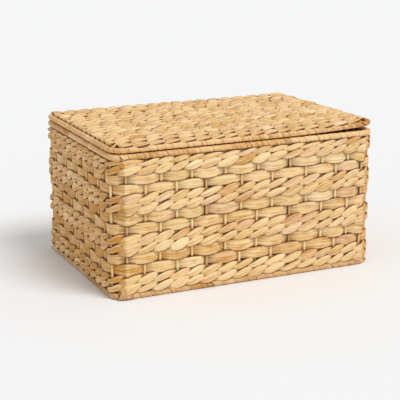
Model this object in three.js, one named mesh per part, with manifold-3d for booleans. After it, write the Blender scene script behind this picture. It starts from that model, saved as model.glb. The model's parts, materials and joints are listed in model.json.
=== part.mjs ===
import * as THREE from "three";
import { mergeVertices } from "three/addons/utils/BufferGeometryUtils.js";
import Module from "manifold-3d";

const wasm = await Module();
wasm.setup();

// A woven box with a hinged lid. Millimetres, +Z up, front towards -Y.
// The origin is on the floor, under the middle of the box.

// Overall size
const boxLength = 388; // left to right, outside the woven walls
const boxWidth = 268; // front to back, outside the woven walls
const boxHeight = 200; // floor to the top of the lid's rim
const cornerRadius = 21; // upright corners, on the outside

// Wire frame and the thinner uprights laced between its rings
const wireDiameter = 4; // rings and posts
const braceDiameter = 3; // cross wires of the base and the lid
const stakeDiameter = 2.6;
const ribDiameter = 2.6; // the lid's own uprights, which lie flat

// Rims, each a strip wound round a ring of the frame
const rimDiameter = 8.7;

// Strands
const strandThickness = 2.4; // twined strands of the walls
const stripThickness = 2.2; // flat strips of the plain courses
const matThickness = 2.2; // each face of the base and of the lid

// Clearances
const touchGap = 0.3; // between pieces that lie against each other
const weaveGap = 0.35; // between a strand and the upright that it passes
const cutOverrun = 1; // how far a cutting block runs past what it cuts

// Uprights, counted round the wall from the left end of the front. The front's are spaced
// by eye: each one's place is a share of the way from the left corner post to the right one.
const frontUprightShares = [
  0, 0.076, 0.139, 0.194, 0.257,
  0.316, 0.399, 0.471, 0.542, 0.603,
  0.677, 0.749, 0.822, 0.883, 0.938,
];
const sideIntervals = 13;
const intervalsPerPost = 5;

// Courses from the top down. Each height is a share of the woven wall.
const courseKinds = [
  "twined", "twined", "plain", "plain",
  "twined", "twined", "plain", "plain",
  "twined", "twined", "plain", "plain",
  "twined", "twined",
];
const courseHeightShares = [
  0.043, 0.063, 0.075, 0.076,
  0.069, 0.068, 0.081, 0.084,
  0.069, 0.071, 0.083, 0.084,
  0.068, 0.066,
];
const plainCoursesFrontFirst = [4, 7, 12]; // these pass in front of the corner posts
const waistShare = 0.6; // a strip's height where it crosses the wall's middle
const strandCrownShare = 0.55; // a twined strand's height at its crown

// Courses of the base and of the lid, front to back
const matCourseKinds = ["twined", "twined", "plain", "plain"];
const matRepeats = 5;
const twinedCourseShare = 0.45; // of a twined and a plain course together
const furrowShare = 0.5; // thickness left between two courses
const ridgeShare = 0.4; // flat top of a course

// The lid has warped: its front right corner stands off the rim
const cornerLift = 4.6;
const liftStart = 40; // from the middle, to the right

// Hinge loops round the rear rims of the box and the lid
const loopWidth = 8;
const loopThickness = 1.4;
const loopSideClearance = 0.6;
const loopIntervals = 2.5; // from each rear corner post

// Fineness
const bendSteps = 4;
const wireSides = 8;
const rodSides = 6;
const rimSides = 12;
const rimBoreSides = 6;
const loopArcSteps = 8;
const stepsPerInterval = 2;
const stepsPerBentInterval = 3;
const bentIntervals = 2; // at each end of a side
const liftSteps = 4;
const weldDistance = 0.0005;

// Sizes that follow from these
const wireRadius = wireDiameter / 2;
const braceRadius = braceDiameter / 2;
const stakeRadius = stakeDiameter / 2;
const ribRadius = ribDiameter / 2;
const rimRadius = rimDiameter / 2;
const rimBoreRadius = wireRadius + touchGap;
const wallInset = wireRadius + weaveGap + strandThickness;
const halfX = boxLength / 2 - wallInset;
const halfY = boxWidth / 2 - wallInset;
const bendRadius = cornerRadius - wallInset;
const bendLength = (bendRadius * Math.PI) / 2;
const straightX = boxLength - 2 * cornerRadius;
const straightY = boxWidth - 2 * cornerRadius;
const baseLevel = rimRadius;
const lidLevel = boxHeight - rimRadius;
const rimLevel = lidLevel - rimDiameter - touchGap;
const wallBottom = baseLevel + rimRadius;
const wallTop = rimLevel - rimRadius;
const wallHeight = wallTop - wallBottom;

const straightLengths = [straightX, straightY, straightX, straightY];
const sideStarts = [0];
for (const length of straightLengths) {
  sideStarts.push(sideStarts.at(-1) + length + bendLength);
}
const loopLength = sideStarts.at(-1);

const straw = new THREE.MeshStandardMaterial({ color: "#dfbc84", roughness: 0.8 });
const paleStraw = new THREE.MeshStandardMaterial({ color: "#e8cd9a", roughness: 0.8 });
const rimStraw = new THREE.MeshStandardMaterial({ color: "#cfa05a", roughness: 0.75 });
const stakeReed = new THREE.MeshStandardMaterial({ color: "#e2c48f", roughness: 0.7 });
const wireSteel = new THREE.MeshStandardMaterial({
  color: "#4a4644",
  roughness: 0.5,
  metalness: 0.8,
});

// A point of the wall: s runs round its middle line from the left end of the front,
// out is measured outwards from that line and z is up.
function wallPoint(s, z, out) {
  const turned = ((s % loopLength) + loopLength) % loopLength;
  const side = sideStarts.findLastIndex((start) => turned >= start);
  const along = turned - sideStarts[side];
  const heading = (side * Math.PI) / 2;
  const starts = [
    [-straightX / 2, -halfY],
    [halfX, -straightY / 2],
    [straightX / 2, halfY],
    [-halfX, straightY / 2],
  ];
  const onStraight = Math.min(along, straightLengths[side]);
  const angle = heading + (along - onStraight) / bendRadius;
  const x = starts[side][0] + onStraight * Math.cos(heading);
  const y = starts[side][1] + onStraight * Math.sin(heading);
  const centreX = x - bendRadius * Math.sin(heading);
  const centreY = y + bendRadius * Math.cos(heading);
  const reach = bendRadius + out;
  return new THREE.Vector3(
    centreX + reach * Math.sin(angle),
    centreY - reach * Math.cos(angle),
    z,
  );
}

// How far the warped lid is lifted at a point. It stays down along the hinge.
function lidLift(x, y) {
  const acrossShare = Math.max(0, (x - liftStart) / (halfX - liftStart));
  const forwardShare = (halfY - y) / (2 * halfY);
  return cornerLift * acrossShare ** 2 * forwardShare;
}

function lidWallPoint(s, z, out) {
  const point = wallPoint(s, z, out);
  point.z += lidLift(point.x, point.y);
  return point;
}

function lidPoint(x, y, z) {
  return new THREE.Vector3(x, y, z + lidLift(x, y));
}

// Closes equal rings of points into one surface. The rings travel along the first axis of
// a right-handed set, and each goes from the second axis towards the third.
function skin(rings, closed) {
  const count = rings[0].length;
  const positions = rings.flat().flatMap((point) => point.toArray());
  const index = [];
  const spans = closed ? rings.length : rings.length - 1;
  for (let i = 0; i < spans; i++) {
    const here = i * count;
    const there = ((i + 1) % rings.length) * count;
    for (let j = 0; j < count; j++) {
      const k = (j + 1) % count;
      index.push(here + j, here + k, there + k);
      index.push(here + j, there + k, there + j);
    }
  }
  return { positions, index, count };
}

function finish({ positions, index }) {
  const geometry = new THREE.BufferGeometry();
  geometry.setAttribute("position", new THREE.Float32BufferAttribute(positions, 3));
  geometry.setIndex(index);
  geometry.computeVertexNormals();
  return geometry;
}

function closedSkin(rings) {
  return finish(skin(rings, true));
}

// The same with both ends capped. The section is the flat outline of every ring.
function cappedSkin(rings, section) {
  const body = skin(rings, false);
  const last = (rings.length - 1) * body.count;
  for (const [a, b, c] of THREE.ShapeUtils.triangulateShape(section, [])) {
    body.index.push(a, c, b);
    body.index.push(last + a, last + b, last + c);
  }
  return finish(body);
}

// Puts an outline's points in the order that skin expects.
function anticlockwise(points) {
  return THREE.ShapeUtils.isClockWise(points) ? points.reverse() : points;
}

// Where rings round the wall have their sections: both ends and the steps of each bend.
function ringStations() {
  return straightLengths.flatMap((length, side) => {
    const bendStart = sideStarts[side] + length;
    const steps = [...Array(bendSteps).keys()];
    return [
      sideStarts[side],
      ...steps.map((step) => bendStart + (bendLength * step) / bendSteps),
    ];
  });
}

// The lid's rings also follow its warped front edge.
function lidStations() {
  const first = straightX / 2 + liftStart;
  const steps = [...Array(liftSteps).keys()];
  const extra = steps.map((step) => first + ((straightX - first) * step) / liftSteps);
  return [...ringStations(), ...extra].sort((a, b) => a - b);
}

// A ring round the wall. The section's points are (up, out).
function wallRing(section, stations = ringStations(), place = wallPoint) {
  const points = anticlockwise(section);
  return closedSkin(stations.map((s) => points.map((p) => place(s, p.x, p.y))));
}

function roundSection(radius, sides) {
  const corner = radius / Math.cos(Math.PI / sides);
  const steps = [...Array(sides).keys()];
  return steps.map((step) => {
    const angle = ((step + 0.5) * 2 * Math.PI) / sides;
    return new THREE.Vector2(corner * Math.cos(angle), corner * Math.sin(angle));
  });
}

// The wound rim's section, open on one side where uprights or ribs reach the wire.
// turn is the angle of the opening from straight up towards the outside.
function rimSection(turn) {
  const lip = Math.sqrt(rimRadius ** 2 - rimBoreRadius ** 2);
  const openHalf = Math.asin(rimBoreRadius / rimRadius);
  const outer = roundSection(rimRadius, rimSides).filter(
    (p) => Math.abs(p.angle() - Math.PI) < Math.PI - openHalf,
  );
  const bore = roundSection(rimBoreRadius, rimBoreSides).filter(
    (p) => p.x < rimBoreRadius / 2,
  );
  const points = [
    new THREE.Vector2(lip, rimBoreRadius),
    ...outer,
    new THREE.Vector2(lip, -rimBoreRadius),
    ...bore.reverse(),
  ];
  return points.map((p) => p.clone().rotateAround(new THREE.Vector2(), turn));
}

// Uprights. A long face runs from corner post to corner post, and a short one from there
// round both bends.
const evenShares = (count) => [...Array(count).keys()].map((i) => i / count);
const longIntervals = frontUprightShares.length;
const longPitch = straightX / longIntervals;
const shortLength = straightY + 2 * bendLength;
const faces = [
  { start: sideStarts[0], length: straightX, shares: frontUprightShares, long: true },
  { start: straightX, length: shortLength, shares: evenShares(sideIntervals) },
  { start: sideStarts[2], length: straightX, shares: evenShares(longIntervals), long: true },
  {
    start: sideStarts[2] + straightX,
    length: shortLength,
    shares: evenShares(sideIntervals),
  },
];
const uprightPlaces = [];
for (const { start, length, shares, long } of faces) {
  shares.forEach((share, i) => {
    const bent = !long && (i < bentIntervals || i >= shares.length - bentIntervals);
    const nextShare = shares[i + 1] ?? 1;
    uprightPlaces.push({
      s: start + share * length,
      pitch: (nextShare - share) * length,
      post: long ? i % intervalsPerPost === 0 : i === 0,
      steps: bent ? stepsPerBentInterval : stepsPerInterval,
    });
  });
}

// A round strand through points of a plane, mitred where it turns. Each point is (a, b);
// place puts (a, b, c) in space, c being square to the plane.
function lacedStrand(points, radius, place) {
  const section = roundSection(radius, rodSides);
  const sides = [];
  for (let i = 1; i < points.length; i++) {
    const run = points[i].clone().sub(points[i - 1]).normalize();
    sides.push(new THREE.Vector2(-run.y, run.x));
  }
  const rings = points.map((point, i) => {
    const before = sides[Math.max(0, i - 1)];
    const after = sides[Math.min(sides.length - 1, i)];
    const mitre = before.clone().add(after);
    mitre.divideScalar(1 + before.dot(after));
    return section.map((p) =>
      place(point.x + mitre.x * p.x, point.y + mitre.y * p.x, p.y),
    );
  });
  return cappedSkin(rings, section);
}

// Up and down between two levels at each place, turning at either end in between.
// extraStops are places that a turn has to pass through where the wall bends.
function laceUprights(places, low, high, startHigh, extraStops) {
  const points = [];
  places.forEach((place, i) => {
    const rising = (i % 2 === 0) !== startHigh;
    const arrive = rising ? low : high;
    const leave = rising ? high : low;
    points.push(new THREE.Vector2(place, arrive), new THREE.Vector2(place, leave));
    const next = places[i + 1];
    for (const stop of extraStops) {
      if (stop > place && stop < next) points.push(new THREE.Vector2(stop, leave));
    }
  });
  return points;
}

// A twined strand: a ring that lies outside the uprights (side 1) or inside them (side -1).
function twinedStrand(height, side) {
  const nearest = wireRadius + weaveGap;
  const half = height / 2;
  const crown = nearest + strandThickness;
  const points = [
    new THREE.Vector2(-half, side * nearest),
    new THREE.Vector2(-half * strandCrownShare, side * crown),
    new THREE.Vector2(half * strandCrownShare, side * crown),
    new THREE.Vector2(half, side * nearest),
  ];
  return wallRing(points);
}

// A plain strip: outside one upright and inside the next, narrow where it crosses over.
// firstSide is 1 where it passes outside the first upright.
function plainStrip(height, firstSide) {
  const rings = [];
  const swingAt = (upright) =>
    (upright.post ? wireRadius : stakeRadius) + weaveGap + stripThickness / 2;
  uprightPlaces.forEach((upright, i) => {
    const next = uprightPlaces[(i + 1) % uprightPlaces.length];
    const side = i % 2 === 0 ? firstSide : -firstSide;
    for (let step = 0; step < upright.steps; step++) {
      const share = step / upright.steps;
      const wave = Math.cos(Math.PI * share);
      const swing = swingAt(wave > 0 ? upright : next);
      const centre = side * wave * swing;
      const half = (height / 2) * (waistShare + (1 - waistShare) * Math.abs(wave));
      const s = upright.s + share * upright.pitch;
      const corners = anticlockwise([
        new THREE.Vector2(-half, centre - stripThickness / 2),
        new THREE.Vector2(half, centre - stripThickness / 2),
        new THREE.Vector2(half, centre + stripThickness / 2),
        new THREE.Vector2(-half, centre + stripThickness / 2),
      ]);
      rings.push(corners.map((p) => wallPoint(s, p.x, p.y)));
    }
  });
  return closedSkin(rings);
}

function solidOf(geometry) {
  const bare = geometry.clone();
  bare.deleteAttribute("normal");
  bare.deleteAttribute("uv");
  const merged = mergeVertices(bare, weldDistance);
  return new wasm.Manifold(
    new wasm.Mesh({
      numProp: 3,
      vertProperties: Float32Array.from(merged.attributes.position.array),
      triVerts: Uint32Array.from(merged.index.array),
    }),
  );
}

function geometryOf(solid) {
  const mesh = solid.getMesh();
  return finish({
    positions: Array.from(mesh.vertProperties),
    index: Array.from(mesh.triVerts),
  });
}

function cutAway(geometry, tools) {
  let solid = solidOf(geometry);
  for (const tool of tools) solid = solid.subtract(solidOf(tool));
  return geometryOf(solid);
}

function block(x, y, z, width, depth, height) {
  return new THREE.BoxGeometry(width, depth, height).translate(x, y, z);
}

function uprightRod(radius, length) {
  return new THREE.CylinderGeometry(radius, radius, length, rodSides).rotateX(
    Math.PI / 2,
  );
}

function crossRod(radius, length) {
  return new THREE.CylinderGeometry(radius, radius, length, rodSides);
}

function roundedOutline(half, depth, radius) {
  const x = half - radius;
  const y = depth - radius;
  const outline = new THREE.Shape();
  outline.absarc(x, -y, radius, -Math.PI / 2, 0);
  outline.absarc(x, y, radius, 0, Math.PI / 2);
  outline.absarc(-x, y, radius, Math.PI / 2, Math.PI);
  outline.absarc(-x, -y, radius, Math.PI, (3 * Math.PI) / 2);
  return outline;
}

// One face of a woven panel, its courses running left to right. face is 1 for the upper
// one and -1 for the lower; inset is the distance of its edge from the wall's middle line.
function matFace(face, inset, stations, place, notches) {
  const nearest = braceRadius + weaveGap;
  const reach = halfY - inset;
  const kinds = Array(matRepeats).fill(matCourseKinds).flat();
  const shares = kinds.map((kind) =>
    kind === "twined" ? twinedCourseShare : 1 - twinedCourseShare,
  );
  const total = shares.reduce((sum, share) => sum + share, 0);
  const furrow = nearest + matThickness * furrowShare;
  const ridge = nearest + matThickness;
  const flatSide = [...Array(matRepeats + 1).keys()].map(
    (i) => new THREE.Vector2((2 * i * reach) / matRepeats - reach, face * nearest),
  );
  const profile = [...flatSide, new THREE.Vector2(reach, face * furrow)];
  let y = reach;
  for (const share of shares.reverse()) {
    const height = (2 * reach * share) / total;
    const slope = (height * (1 - ridgeShare)) / 2;
    profile.push(new THREE.Vector2(y - slope, face * ridge));
    profile.push(new THREE.Vector2(y - height + slope, face * ridge));
    profile.push(new THREE.Vector2(y - height, face * furrow));
    y -= height;
  }
  const section = anticlockwise(profile);
  const rings = stations.map((x) => section.map((p) => place(x, p.x, p.y)));
  const blank = solidOf(cappedSkin(rings, section));
  const tall = boxHeight;
  const outline = roundedOutline(halfX - inset, reach, bendRadius - inset);
  const prism = new THREE.ExtrudeGeometry(outline, {
    depth: tall,
    bevelEnabled: false,
    curveSegments: bendSteps,
  }).translate(0, 0, -tall / 2);
  return cutAway(geometryOf(blank.intersect(solidOf(prism))), notches);
}

function mesh(parent, name, geometry, material, x = 0, y = 0, z = 0) {
  const piece = new THREE.Mesh(geometry, material);
  piece.name = name;
  piece.position.set(x, y, z);
  parent.add(piece);
}

function numbered(index) {
  return String(index + 1).padStart(2, "0");
}

const box = new THREE.Group();
const body = new THREE.Group();
const lid = new THREE.Group();
lid.position.z = lidLevel;
box.add(body, lid);

const ringWire = roundSection(wireRadius, wireSides);
const openDown = Math.PI;
const openUp = 0;
const openInwards = -Math.PI / 2;

// Hinge loops: where they stand, and the room that the pieces round them leave
const loopBore = rimRadius / Math.cos(Math.PI / rimSides) + touchGap;
const loopReach = loopBore + loopThickness;
const loopX = straightX / 2 - loopIntervals * longPitch;
const loopPlaces = [-loopX, loopX];
const loopRoom = loopWidth + 2 * loopSideClearance;

// Frame of the body
mesh(body, "frame_top_ring", wallRing(ringWire), wireSteel, 0, 0, rimLevel);
mesh(body, "frame_bottom_ring", wallRing(ringWire), wireSteel, 0, 0, baseLevel);
const postLow = baseLevel + rimBoreRadius;
const postHigh = rimLevel - rimBoreRadius;
uprightPlaces
  .filter((upright) => upright.post)
  .forEach((upright, i) => {
    const foot = wallPoint(upright.s, (postLow + postHigh) / 2, 0);
    mesh(
      body,
      "frame_post_" + numbered(i),
      uprightRod(wireRadius, postHigh - postLow),
      wireSteel,
      ...foot.toArray(),
    );
  });

// Stakes: one strand laced up and down through each bay between two posts
const bays = [];
uprightPlaces.forEach((upright) => {
  if (upright.post) bays.push([]);
  else bays.at(-1).push(upright.s);
});
const bayNames = [
  "front_left", "front_middle", "front_right", "right",
  "back_right", "back_middle", "back_left", "left",
];
bays.forEach((places, i) => {
  const low = postLow + stakeRadius;
  const high = postHigh - stakeRadius;
  const points = laceUprights(places, low, high, false, ringStations());
  const strand = lacedStrand(points, stakeRadius, wallPoint);
  mesh(body, "stakes_" + bayNames[i], strand, stakeReed);
});

// Courses of the wall
const shareSum = courseHeightShares.reduce((sum, share) => sum + share, 0);
let courseTop = wallTop;
courseKinds.forEach((kind, i) => {
  const pitch = (wallHeight * courseHeightShares[i]) / shareSum;
  const height = pitch - touchGap;
  const level = courseTop - pitch / 2;
  const name = kind + "_course_" + numbered(i);
  courseTop -= pitch;
  if (kind === "plain") {
    const firstSide = plainCoursesFrontFirst.includes(i + 1) ? 1 : -1;
    mesh(body, name, plainStrip(height, firstSide), straw, 0, 0, level);
    return;
  }
  // The hinge loops pass through the first course, just under the rim.
  const notchTop = pitch / 2 + cutOverrun;
  const notchLow = rimLevel - loopReach - touchGap - level;
  const notches = loopPlaces.map((x) =>
    block(
      x,
      halfY,
      (notchTop + notchLow) / 2,
      loopRoom,
      2 * (wallInset + cutOverrun),
      notchTop - notchLow,
    ),
  );
  for (const [side, label] of [[1, "_outer"], [-1, "_inner"]]) {
    const strand = twinedStrand(height, side);
    const shape = i === 0 ? cutAway(strand, notches) : strand;
    mesh(body, name + label, shape, side > 0 ? paleStraw : straw, 0, 0, level);
  }
});

// Base: cross wires from ring to ring, and a woven face above and below them
const braceX = straightX / 2 - intervalsPerPost * longPitch;
const bracePlaces = [-braceX, braceX];
const braceLength = 2 * (halfY - rimBoreRadius);
const baseHoles = bracePlaces.map((x) =>
  crossRod(braceRadius + touchGap, 2 * halfY).translate(x, 0, 0),
);
const bottomRim = cutAway(wallRing(rimSection(openUp)), baseHoles);
mesh(body, "rim_top", wallRing(rimSection(openDown)), rimStraw, 0, 0, rimLevel);
mesh(body, "rim_bottom", bottomRim, rimStraw, 0, 0, baseLevel);
const baseInset = rimRadius + touchGap;
const baseEnds = [-halfX, halfX];
for (const [face, label] of [[1, "upper"], [-1, "lower"]]) {
  const flat = (x, y, z) => new THREE.Vector3(x, y, z);
  const weave = matFace(face, baseInset, baseEnds, flat, []);
  mesh(body, "base_weave_" + label, weave, straw, 0, 0, baseLevel);
}
bracePlaces.forEach((x, i) => {
  const name = "base_brace_" + (i === 0 ? "left" : "right");
  mesh(body, name, crossRod(braceRadius, braceLength), wireSteel, x, 0, baseLevel);
});

// Hinge loops
loopPlaces.forEach((x, i) => {
  const outline = new THREE.Shape();
  const rise = lidLevel - rimLevel;
  outline.absarc(0, 0, loopReach, Math.PI, 2 * Math.PI);
  outline.absarc(0, rise, loopReach, 0, Math.PI);
  const bore = new THREE.Path();
  bore.absarc(0, 0, loopBore, Math.PI, 2 * Math.PI);
  bore.absarc(0, rise, loopBore, 0, Math.PI);
  outline.holes.push(bore);
  const loop = new THREE.ExtrudeGeometry(outline, {
    depth: loopWidth,
    bevelEnabled: false,
    curveSegments: loopArcSteps,
  });
  // The outline's own axes become Y and Z, and its depth X.
  const upright = new THREE.Matrix4().makeBasis(
    new THREE.Vector3(0, 1, 0),
    new THREE.Vector3(0, 0, 1),
    new THREE.Vector3(1, 0, 0),
  );
  loop.applyMatrix4(upright).translate(-loopWidth / 2, 0, 0);
  const name = "hinge_loop_" + (i === 0 ? "left" : "right");
  mesh(body, name, loop, rimStraw, x, halfY, rimLevel);
});

// Lid: ring, wound rim, cross wires, laced ribs and two woven faces
const lidRing = wallRing(ringWire, lidStations(), lidWallPoint);
const lidRim = wallRing(rimSection(openInwards), lidStations(), lidWallPoint);
mesh(lid, "lid_frame_ring", lidRing, wireSteel);
mesh(lid, "lid_rim", lidRim, rimStraw);
bracePlaces.forEach((x, i) => {
  const ends = [
    new THREE.Vector2(x, -halfY + rimBoreRadius),
    new THREE.Vector2(x, halfY - rimBoreRadius),
  ];
  const name = "lid_brace_" + (i === 0 ? "left" : "right");
  mesh(lid, name, lacedStrand(ends, braceRadius, lidPoint), wireSteel);
});
const ribsPerBay = 5;
const lidBays = [
  { name: "left", from: -halfX, to: -braceX, startBack: true },
  { name: "middle", from: -braceX, to: braceX, startBack: true },
  { name: "right", from: braceX, to: halfX, startBack: false },
];
for (const bay of lidBays) {
  const pitch = (bay.to - bay.from) / (ribsPerBay + 1);
  const places = [...Array(ribsPerBay).keys()].map((i) => bay.from + (i + 1) * pitch);
  const reach = halfY - rimBoreRadius - ribRadius;
  const points = laceUprights(places, -reach, reach, bay.startBack, []);
  mesh(lid, "lid_ribs_" + bay.name, lacedStrand(points, ribRadius, lidPoint), stakeReed);
}
const lidInset = Math.sqrt(rimRadius ** 2 - rimBoreRadius ** 2) + touchGap;
const liftedStations = [...Array(liftSteps + 1).keys()].map(
  (step) => liftStart + ((halfX - liftStart) * step) / liftSteps,
);
const notchDepth = 2 * (loopReach + loopSideClearance);
const lidNotches = loopPlaces.map((x) =>
  block(x, halfY, 0, loopRoom, notchDepth, 2 * rimDiameter),
);
for (const [face, label] of [[1, "upper"], [-1, "lower"]]) {
  const stations = [-halfX, ...liftedStations];
  const weave = matFace(face, lidInset, stations, lidPoint, lidNotches);
  mesh(lid, "lid_weave_" + label, weave, paleStraw);
}

export default box;
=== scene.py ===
"""A lidded box woven from water hyacinth over a wire frame."""

import json
import math
from functools import partial

import bpy
import numpy as np
from bpy.props import FloatProperty, FloatVectorProperty, IntProperty, PointerProperty
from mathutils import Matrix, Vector


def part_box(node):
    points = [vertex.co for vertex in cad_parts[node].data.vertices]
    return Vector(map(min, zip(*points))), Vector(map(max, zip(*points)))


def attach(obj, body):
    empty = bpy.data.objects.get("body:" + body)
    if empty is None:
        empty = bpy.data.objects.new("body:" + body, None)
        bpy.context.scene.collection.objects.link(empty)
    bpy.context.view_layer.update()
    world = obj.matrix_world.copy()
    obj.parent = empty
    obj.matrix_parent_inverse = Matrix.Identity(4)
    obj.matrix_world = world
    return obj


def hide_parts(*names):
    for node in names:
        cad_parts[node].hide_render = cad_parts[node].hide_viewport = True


bl_info = {
    "name": "Woven Lidded Box",
    "version": (1, 0, 0),
    "blender": (4, 5, 0),
    "location": "View3D > Sidebar > Woven Box",
    "description": "Weaves a hyacinth box and its lid over a wire frame",
    "category": "Add Mesh",
}

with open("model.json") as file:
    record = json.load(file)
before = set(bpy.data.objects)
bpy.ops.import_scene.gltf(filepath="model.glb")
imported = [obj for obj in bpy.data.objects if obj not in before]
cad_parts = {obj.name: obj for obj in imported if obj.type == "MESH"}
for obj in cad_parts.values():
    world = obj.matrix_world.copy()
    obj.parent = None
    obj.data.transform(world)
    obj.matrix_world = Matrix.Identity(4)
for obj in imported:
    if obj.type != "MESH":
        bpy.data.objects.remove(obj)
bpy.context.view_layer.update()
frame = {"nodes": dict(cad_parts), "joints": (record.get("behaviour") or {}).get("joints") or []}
MM = 0.001
UP, BACK = np.array([0.0, 0.0, 1.0]), np.array([0.0, 1.0, 0.0])

# Places and sizes that come from the frame
post_low, post_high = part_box("frame_post_01")
top_low, top_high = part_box("frame_top_ring")
foot_low, foot_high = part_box("frame_bottom_ring")
WIRE_RADIUS = (post_high.y - post_low.y) / 2
STRAIGHT_X = -(post_low.x + post_high.x)
HALF_X = top_high.x - WIRE_RADIUS
HALF_Y = top_high.y - WIRE_RADIUS
BEND_RADIUS = HALF_X - STRAIGHT_X / 2
BEND_LENGTH = BEND_RADIUS * math.pi / 2
STRAIGHT_Y = 2 * (HALF_Y - BEND_RADIUS)
RIM_LEVEL = (top_low.z + top_high.z) / 2
BASE_LEVEL = (foot_low.z + foot_high.z) / 2
LID_LEVEL = frame["joints"][0]["pos_m"][2]
RIM_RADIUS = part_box("rim_bottom")[1].y - HALF_Y

# Uprights are counted round the wall from the left end of the front. The front's are listed
# # one by one: each one's place is a share of the way from the left corner post to the right one.
FRONT_UPRIGHT_SHARES = (
    0, 0.076, 0.139, 0.194, 0.257, 0.316, 0.399, 0.471, 0.542, 0.603, 0.677, 0.749, 0.822, 0.883, 0.938
)
LONG_INTERVALS = len(FRONT_UPRIGHT_SHARES)
SIDE_INTERVALS = 13
INTERVALS_PER_POST = 5
RIBS_PER_BAY = 5

# How many millimetres each front upright strays to the right, at its top and at its foot
TOP_STRAYS = (0, 1.4, 1, 2, 1.8, 1.2, 0.8, 1, 0, 0, 0, 0, 0, 0, 0)
FOOT_STRAYS = (0, -3, -3.5, 3, 2, 2.5, 1, -4, -4, -2, 0, 0, -1, 0, 0)

# Courses of the wall from the top down, and of the base and the lid from the back forwards
WALL_COURSES = "TTPPTTPPTTPPTT"
STRIP_FIRST_OUTSIDE = (4, 7, 12)
BASE_COURSES = "TTPP" * 5
LID_COURSES = "T" * 15

# How much of the height of a twined and a plain course together the twined one takes
MAT_TWINED_SHARE = 0.45

HINGE_LOOPS = ("hinge_loop_left", "hinge_loop_right")

# How far from its ends a strand's creases fade, and an open strand starts to taper
END_TAPER = 3 * MM

# The lid has warped: its front right corner stands off the rim.
CORNER_LIFT = 4.6 * MM
LIFT_START = 40 * MM

# Tone and cast of the rims' strips along the front, each up to so many millimetres from the corner
FRONT_RIM_PATCHES = (
    (42, 0.4, -0.7),
    (89, 0.45, 0.55),
    (143, 0.65, 0.1),
    (228, 0.35, 0.2),
    (232, 0.25, 1.0),
    (346, 0.75, 0.0),
)
FRONT_FOOT_PATCHES = (
    (94, 0.65, -0.3),
    (117, 0.25, 0.0),
    (163, 0.7, -0.2),
    (183, 0.55, 0.2),
    (276, 0.6, 0.0),
    (367, 0.6, -0.1),
)


def lid_lift(x, y):
    """How far the warped lid stands up at a point."""
    across = np.clip((x - LIFT_START) / (HALF_X - LIFT_START), 0, None)
    return CORNER_LIFT * across**2 * (HALF_Y - y) / (2 * HALF_Y)


# The middle line of the wall, side by side from the front round to the right
STRAIGHTS = np.array([STRAIGHT_X, STRAIGHT_Y, STRAIGHT_X, STRAIGHT_Y])
SIDE_STARTS = np.concatenate([[0], np.cumsum(STRAIGHTS + BEND_LENGTH)])
WALL_LENGTH = SIDE_STARTS[-1]
BACK_MIDDLE = SIDE_STARTS[2] + STRAIGHT_X / 2
SIDE_CORNERS = np.array(
    [
        [-STRAIGHT_X / 2, -HALF_Y],
        [HALF_X, -STRAIGHT_Y / 2],
        [STRAIGHT_X / 2, HALF_Y],
        [-HALF_X, STRAIGHT_Y / 2],
    ]
)


def wall_line(along):
    """Points of the wall's middle line in plan, and which way is out, at distances round it
    from the left end of the front."""
    turned = np.mod(along, WALL_LENGTH)
    side = np.searchsorted(SIDE_STARTS[1:-1], turned, side="right")
    travelled = turned - SIDE_STARTS[side]
    straight = np.minimum(travelled, STRAIGHTS[side])
    heading = side * math.pi / 2
    angle = heading + (travelled - straight) / BEND_RADIUS
    ahead = np.stack([np.cos(heading), np.sin(heading)], -1)
    left = np.stack([-np.sin(heading), np.cos(heading)], -1)
    out = np.stack([np.sin(angle), -np.cos(angle)], -1)
    centre = SIDE_CORNERS[side] + ahead * straight[..., None] + left * BEND_RADIUS
    return centre + out * BEND_RADIUS, out


# Where the uprights stand along the wall, and which of them are thick posts
long_shares = np.arange(LONG_INTERVALS) / LONG_INTERVALS
side_places = np.arange(SIDE_INTERVALS) / SIDE_INTERVALS * (STRAIGHT_Y + 2 * BEND_LENGTH)
UPRIGHTS = np.concatenate(
    [
        np.array(FRONT_UPRIGHT_SHARES) * STRAIGHT_X,
        STRAIGHT_X + side_places,
        SIDE_STARTS[2] + long_shares * STRAIGHT_X,
        SIDE_STARTS[2] + STRAIGHT_X + side_places,
    ]
)
long_posts = np.arange(LONG_INTERVALS) % INTERVALS_PER_POST == 0
side_posts = np.arange(SIDE_INTERVALS) == 0
IS_POST = np.concatenate([long_posts, side_posts] * 2)
COUNT = len(UPRIGHTS)
CORNER_POSTS = np.cumsum([0, LONG_INTERVALS, SIDE_INTERVALS, LONG_INTERVALS])
BEND_STAKES = (CORNER_POSTS + (-1, 1, -1, 1)) % COUNT
BACK_UPRIGHT = LONG_INTERVALS + SIDE_INTERVALS + LONG_INTERVALS // 2


def uprights_at(level):
    """How far along the wall each upright is at a level, with the front ones' leaning."""
    share = (level - BASE_LEVEL) / (RIM_LEVEL - BASE_LEVEL)
    top, foot = np.array((TOP_STRAYS, FOOT_STRAYS)) * MM
    stray = np.zeros(COUNT)
    stray[:LONG_INTERVALS] = top * share + foot * (1 - share)
    return UPRIGHTS + stray


def stepped(values, turn, closed):
    """Values given at each upright, eased from one to the next."""
    first = np.floor(turn).astype(int)
    share = turn - first
    ease = share * share * (3 - 2 * share)
    ends = [first, first + 1]
    if closed:
        first, last = (np.mod(i, len(values)) for i in ends)
    else:
        first, last = (np.clip(i, 0, len(values) - 1) for i in ends)
    return values[first] * (1 - ease) + values[last] * ease


def unit(vectors):
    return vectors / np.linalg.norm(vectors, axis=-1, keepdims=True)


# How far from a corner post strands are paler, in creases
PALE_REACH = 1.5


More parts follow.
